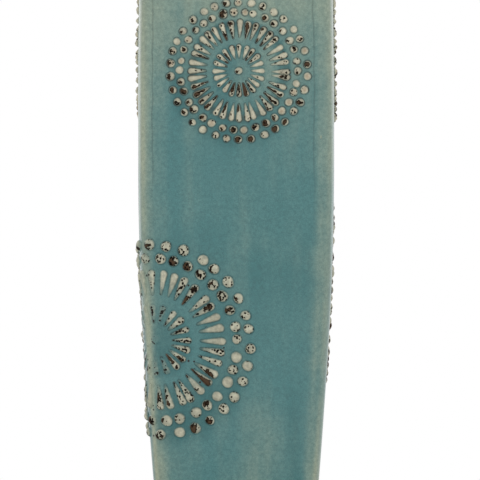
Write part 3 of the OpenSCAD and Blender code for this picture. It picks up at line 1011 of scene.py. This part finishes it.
def floor_material(name, stage):
    """Pale floor that keeps the shadow near the vase and passes into the white background."""
    material, tree, surface, output = new_material(name)
    tree.join(surface, {"Base Color": stage.floor, "Roughness": 0.8})
    far = tree.node("ShaderNodeVectorMath", {0: tree.place()}, operation="LENGTH").outputs["Value"]
    fade = tree.product(tree.seen(), tree.ease(far, 160 * MM, 500 * MM))
    white = tree.node("ShaderNodeEmission", {"Color": WHITE, "Strength": 1.0})
    mixed = tree.node("ShaderNodeMixShader", {0: fade, 1: surface.outputs[0], 2: white.outputs[0]})
    tree.join(output, {"Surface": mixed.outputs[0]})
    return material


# Operators

def build_rosettes(context, wanted):
    """Trails the wanted rosettes, with one piece for each ring of strokes."""
    glaze = Glaze(context.scene)
    material = shared_material("cream_slip", slip_material, context.scene.vase_finish)
    for index, rosette in enumerate(glaze.places):
        if rosette.name not in wanted:
            continue
        rings = rosette_rings(glaze.rosettes, rosette.size)
        for turn, (ring, (angles, stroke)) in enumerate(rings.items()):
            node = f"{rosette.name}_rosette_{ring}"
            strokes = Strokes(glaze, rosette, 10 * index + turn)
            for angle in angles:
                strokes.add(angle, *stroke)
            add_piece(strokes.mesh(node + "_slip"), material, "slip", node)


class VASE_OT_walls(Operator):
    """Build the four glazed wall slabs with their round lip"""
    bl_idname = "vase.walls"
    bl_label = "Glazed Walls"
    bl_options = {"REGISTER", "UNDO"}

    def execute(self, context):
        glaze = Glaze(context.scene)
        material = shared_material("teal_glaze", glaze_material, context.scene.vase_finish)
        for face, name in enumerate(FACES):
            add_piece(wall_mesh(glaze, face), material, "glaze", name + "_wall")
        return {"FINISHED"}


class VASE_OT_base_slab(Operator):
    """Build the floor slab, glazed inside and out and wiped bare below"""
    bl_idname = "vase.base_slab"
    bl_label = "Base Slab"
    bl_options = {"REGISTER", "UNDO"}

    def execute(self, context):
        material = shared_material("teal_glaze", glaze_material, context.scene.vase_finish)
        add_piece(base_mesh(Glaze(context.scene)), material, "glaze", "base_slab")
        return {"FINISHED"}


class VASE_OT_foot_ring(Operator):
    """Build the bare clay ring that the vase stands on"""
    bl_idname = "vase.foot_ring"
    bl_label = "Foot Ring"
    bl_options = {"REGISTER", "UNDO"}

    def execute(self, context):
        material = shared_material("bare_clay", clay_material, context.scene.vase_finish)
        add_piece(foot_mesh(Wall(context.scene.vase_body)), material, "bare_clay", "foot_ring")
        return {"FINISHED"}


class VASE_OT_face_rosettes(Operator):
    """Trail the slip rosettes high on the four faces"""
    bl_idname = "vase.face_rosettes"
    bl_label = "Face Rosettes"
    bl_options = {"REGISTER", "UNDO"}

    def execute(self, context):
        build_rosettes(context, FACES)
        return {"FINISHED"}


class VASE_OT_corner_rosettes(Operator):
    """Trail the larger slip rosettes that wrap two of the upright corners"""
    bl_idname = "vase.corner_rosettes"
    bl_label = "Corner Rosettes"
    bl_options = {"REGISTER", "UNDO"}

    def execute(self, context):
        build_rosettes(context, ("front_left", "back_right"))
        return {"FINISHED"}


class VASE_OT_stage(Operator):
    """Set the floor, the soft lamps, the white background and the camera"""
    bl_idname = "vase.stage"
    bl_label = "Stage"
    bl_options = {"REGISTER", "UNDO"}

    def add_floor(self, scene):
        """A square floor that only the stage has."""
        reach = scene.vase_stage.floor_reach
        mesh = bpy.data.meshes.new("floor")
        corners = [(-reach, -reach, 0), (reach, -reach, 0), (reach, reach, 0), (-reach, reach, 0)]
        mesh.from_pydata(corners, [], [(0, 1, 2, 3)])
        mesh.materials.append(floor_material("pale_floor", scene.vase_stage))
        floor = bpy.data.objects.new("floor", mesh)
        scene.collection.objects.link(floor)

    def add_lamp(self, scene, name, place, width, power, mirrored):
        """A round, soft lamp that shines on the middle of the vase."""
        data = bpy.data.lights.new(name, "AREA")
        data.shape, data.size, data.energy = "DISK", width, power
        lamp = bpy.data.objects.new(name, data)
        lamp.location = place
        aim = Vector((0, 0, scene.vase_body.height / 2)) - Vector(place)
        lamp.rotation_euler = aim.to_track_quat("-Z", "Y").to_euler()
        lamp.visible_glossy = mirrored
        scene.collection.objects.link(lamp)

    def add_background(self, scene):
        """White where it's seen, and weaker where it only lights the vase."""
        scene.world = bpy.data.worlds.new("studio")
        scene.world.use_nodes = True
        tree = Tree(scene.world.node_tree)
        strength = tree.ease(tree.seen(), 0, 1, scene.vase_stage.sky, 1.0)
        sky = tree.node("ShaderNodeBackground", {"Color": WHITE, "Strength": strength})
        tree.node("ShaderNodeOutputWorld", {"Surface": sky.outputs[0]})

    def add_camera(self, scene):
        """A camera far off with a long lens, which looks down a little."""
        stage = scene.vase_stage
        lens = bpy.data.cameras.new("camera")
        lens.lens, lens.sensor_width, lens.clip_end = stage.lens, 36, 50
        camera = bpy.data.objects.new("camera", lens)
        back = stage.distance * math.cos(stage.pitch)
        camera.location = (stage.aim_right + back * math.sin(stage.turn), -back * math.cos(stage.turn),
                           stage.aim_height + stage.distance * math.sin(stage.pitch))
        camera.rotation_euler = (math.pi / 2 - stage.pitch, 0, stage.turn)
        scene.collection.objects.link(camera)
        scene.camera = camera

    def execute(self, context):
        scene = context.scene
        self.add_floor(scene)
        for lamp in LAMPS:
            self.add_lamp(scene, *lamp)
        self.add_background(scene)
        self.add_camera(scene)
        scene.view_settings.view_transform = "Standard"
        return {"FINISHED"}


class VASE_PT_sidebar(Panel):
    """The vase's settings and the steps that build it"""
    bl_idname = "VASE_PT_sidebar"
    bl_label = "Square Pottery Vase"
    bl_space_type = "VIEW_3D"
    bl_region_type = "UI"
    bl_category = "Vase"

    def draw(self, context):
        for operator in OPERATORS:
            self.layout.operator(operator.bl_idname)
        for name in GROUPS:
            box = self.layout.box()
            box.label(text=name.removeprefix("vase_").capitalize())
            settings = getattr(context.scene, name)
            for key in settings.__annotations__:
                box.prop(settings, key)


GROUPS = {"vase_body": VaseBodySettings, "vase_rosettes": VaseRosetteSettings,
          "vase_glaze": VaseGlazeSettings, "vase_finish": VaseFinishSettings,
          "vase_stage": VaseStageSettings}
OPERATORS = (VASE_OT_walls, VASE_OT_base_slab, VASE_OT_foot_ring, VASE_OT_face_rosettes,
             VASE_OT_corner_rosettes, VASE_OT_stage)
CLASSES = (*GROUPS.values(), *OPERATORS, VASE_PT_sidebar)


def register():
    for cls in CLASSES:
        bpy.utils.register_class(cls)
    for name, group in GROUPS.items():
        setattr(bpy.types.Scene, name, PointerProperty(type=group))


def unregister():
    for name in GROUPS:
        delattr(bpy.types.Scene, name)
    for cls in reversed(CLASSES):
        bpy.utils.unregister_class(cls)


def main():
    register()
    bpy.ops.vase.stage()
    bpy.ops.vase.walls()
    bpy.ops.vase.base_slab()
    bpy.ops.vase.foot_ring()
    bpy.ops.vase.face_rosettes()
    bpy.ops.vase.corner_rosettes()


if __name__ == "__main__":
    main()
